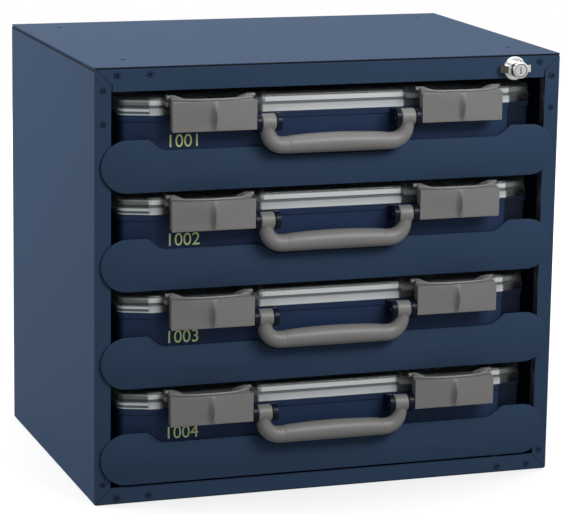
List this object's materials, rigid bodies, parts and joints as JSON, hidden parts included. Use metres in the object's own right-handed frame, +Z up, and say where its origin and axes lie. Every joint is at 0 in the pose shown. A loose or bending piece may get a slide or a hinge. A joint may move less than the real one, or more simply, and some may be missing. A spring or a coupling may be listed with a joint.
{
  "type": "compartment storage cabinet",
  "caption": "Steel cabinet with pull-out trays, each holding a compartment case with a clear lid, two latches and a folding handle, locked by one wing knob.",
  "frame": {"origin": "middle of the cabinet's underside", "axes": "+X to the right seen from the front, +Y to the back, +Z up; drawers open to -Y"},
  "size_m": [0.464, 0.3596, 0.416],
  "materials": {
    "blue_steel": "satin fine-textured powder coat",
    "zinc_steel": "bright zinc plate",
    "lock_chrome": "polished",
    "clear_plastic": "clear polycarbonate",
    "navy_plastic": "moulded satin",
    "grey_plastic": "moulded satin",
    "bin_plastic": "moulded satin"
  },
  "bodies": {
    "cabinet": {"cabinet_wrap": "blue_steel", "top_panel": "blue_steel", "back_panel": "blue_steel", "corner_gussets": "blue_steel", "panel_rivets": "blue_steel", "lock_body": "lock_chrome", "lock_nut": "lock_chrome", "lock_bar_guides": "zinc_steel", "rail_outer_1": "zinc_steel", "rail_outer_2": "zinc_steel", "rail_outer_3": "zinc_steel", "rail_outer_4": "zinc_steel"},
    "lock_turn": {"lock_knob": "lock_chrome", "lock_plug": "lock_chrome", "lock_cam": "zinc_steel", "lock_cam_screw": "zinc_steel"},
    "lock_bar": {"lock_bar": "zinc_steel"},
    "drawer_1": {"drawer_front_1": "blue_steel", "tray_1": "blue_steel", "rail_inner_1": "zinc_steel", "case_base_1": "navy_plastic", "case_lid_1": "clear_plastic", "bins_1": "bin_plastic"},
    "slide_middle_1": {"rail_middle_1": "zinc_steel"},
    "handle_1": {"handle_1": "grey_plastic"},
    "latch_left_1": {"latch_left_1": "grey_plastic"},
    "latch_right_1": {"latch_right_1": "grey_plastic"},
    "drawer_2": {"drawer_front_2": "blue_steel", "tray_2": "blue_steel", "rail_inner_2": "zinc_steel", "case_base_2": "navy_plastic", "case_lid_2": "clear_plastic", "bins_2": "bin_plastic"},
    "slide_middle_2": {"rail_middle_2": "zinc_steel"},
    "handle_2": {"handle_2": "grey_plastic"},
    "latch_left_2": {"latch_left_2": "grey_plastic"},
    "latch_right_2": {"latch_right_2": "grey_plastic"},
    "drawer_3": {"drawer_front_3": "blue_steel", "tray_3": "blue_steel", "rail_inner_3": "zinc_steel", "case_base_3": "navy_plastic", "case_lid_3": "clear_plastic", "bins_3": "bin_plastic"},
    "slide_middle_3": {"rail_middle_3": "zinc_steel"},
    "handle_3": {"handle_3": "grey_plastic"},
    "latch_left_3": {"latch_left_3": "grey_plastic"},
    "latch_right_3": {"latch_right_3": "grey_plastic"},
    "drawer_4": {"drawer_front_4": "blue_steel", "tray_4": "blue_steel", "rail_inner_4": "zinc_steel", "case_base_4": "navy_plastic", "case_lid_4": "clear_plastic", "bins_4": "bin_plastic"},
    "slide_middle_4": {"rail_middle_4": "zinc_steel"},
    "handle_4": {"handle_4": "grey_plastic"},
    "latch_left_4": {"latch_left_4": "grey_plastic"},
    "latch_right_4": {"latch_right_4": "grey_plastic"}
  },
  "joints": [
    {"name": "lock_turn", "type": "hinge", "parent": "cabinet", "child": "lock_turn", "pos_m": [0.1833, -0.175, 0.4031], "axis": [0, -1, 0], "range_deg": [0, 90]},
    {"name": "lock_bar_lift", "type": "slide", "parent": "cabinet", "child": "lock_bar", "axis": [0, 0, 1], "range_m": [0, 0.00707]},
    {"name": "drawer_slide_1", "type": "slide", "parent": "cabinet", "child": "drawer_1", "axis": [0, -1, 0], "range_m": [0, 0.285]},
    {"name": "slide_middle_travel_1", "type": "slide", "parent": "cabinet", "child": "slide_middle_1", "axis": [0, -1, 0], "range_m": [0, 0.1426]},
    {"name": "handle_fold_1", "type": "hinge", "parent": "drawer_1", "child": "handle_1", "pos_m": [0, -0.1776, 0.3623], "axis": [-1, 0, 0], "range_deg": [0, 105]},
    {"name": "latch_left_turn_1", "type": "hinge", "parent": "drawer_1", "child": "latch_left_1", "pos_m": [-0.12285, -0.1711, 0.3873], "axis": [-1, 0, 0], "range_deg": [0, 90]},
    {"name": "latch_right_turn_1", "type": "hinge", "parent": "drawer_1", "child": "latch_right_1", "pos_m": [0.12285, -0.1711, 0.3873], "axis": [-1, 0, 0], "range_deg": [0, 90]},
    {"name": "drawer_slide_2", "type": "slide", "parent": "cabinet", "child": "drawer_2", "axis": [0, -1, 0], "range_m": [0, 0.285]},
    {"name": "slide_middle_travel_2", "type": "slide", "parent": "cabinet", "child": "slide_middle_2", "axis": [0, -1, 0], "range_m": [0, 0.1426]},
    {"name": "handle_fold_2", "type": "hinge", "parent": "drawer_2", "child": "handle_2", "pos_m": [0, -0.1776, 0.2691], "axis": [-1, 0, 0], "range_deg": [0, 105]},
    {"name": "latch_left_turn_2", "type": "hinge", "parent": "drawer_2", "child": "latch_left_2", "pos_m": [-0.12285, -0.1711, 0.2941], "axis": [-1, 0, 0], "range_deg": [0, 90]},
    {"name": "latch_right_turn_2", "type": "hinge", "parent": "drawer_2", "child": "latch_right_2", "pos_m": [0.12285, -0.1711, 0.2941], "axis": [-1, 0, 0], "range_deg": [0, 90]},
    {"name": "drawer_slide_3", "type": "slide", "parent": "cabinet", "child": "drawer_3", "axis": [0, -1, 0], "range_m": [0, 0.285]},
    {"name": "slide_middle_travel_3", "type": "slide", "parent": "cabinet", "child": "slide_middle_3", "axis": [0, -1, 0], "range_m": [0, 0.1426]},
    {"name": "handle_fold_3", "type": "hinge", "parent": "drawer_3", "child": "handle_3", "pos_m": [0, -0.1776, 0.1759], "axis": [-1, 0, 0], "range_deg": [0, 105]},
    {"name": "latch_left_turn_3", "type": "hinge", "parent": "drawer_3", "child": "latch_left_3", "pos_m": [-0.12285, -0.1711, 0.2009], "axis": [-1, 0, 0], "range_deg": [0, 90]},
    {"name": "latch_right_turn_3", "type": "hinge", "parent": "drawer_3", "child": "latch_right_3", "pos_m": [0.12285, -0.1711, 0.2009], "axis": [-1, 0, 0], "range_deg": [0, 90]},
    {"name": "drawer_slide_4", "type": "slide", "parent": "cabinet", "child": "drawer_4", "axis": [0, -1, 0], "range_m": [0, 0.285]},
    {"name": "slide_middle_travel_4", "type": "slide", "parent": "cabinet", "child": "slide_middle_4", "axis": [0, -1, 0], "range_m": [0, 0.1426]},
    {"name": "handle_fold_4", "type": "hinge", "parent": "drawer_4", "child": "handle_4", "pos_m": [0, -0.1776, 0.0827], "axis": [-1, 0, 0], "range_deg": [0, 105]},
    {"name": "latch_left_turn_4", "type": "hinge", "parent": "drawer_4", "child": "latch_left_4", "pos_m": [-0.12285, -0.1711, 0.1077], "axis": [-1, 0, 0], "range_deg": [0, 90]},
    {"name": "latch_right_turn_4", "type": "hinge", "parent": "drawer_4", "child": "latch_right_4", "pos_m": [0.12285, -0.1711, 0.1077], "axis": [-1, 0, 0], "range_deg": [0, 90]}
  ],
  "couplings": [
    {"joint": "lock_turn", "follows": "lock_bar_lift", "rad_per_m": 222.14},
    {"joint": "slide_middle_travel_1", "follows": "drawer_slide_1", "ratio": 0.5},
    {"joint": "slide_middle_travel_2", "follows": "drawer_slide_2", "ratio": 0.5},
    {"joint": "slide_middle_travel_3", "follows": "drawer_slide_3", "ratio": 0.5},
    {"joint": "slide_middle_travel_4", "follows": "drawer_slide_4", "ratio": 0.5}
  ]
}
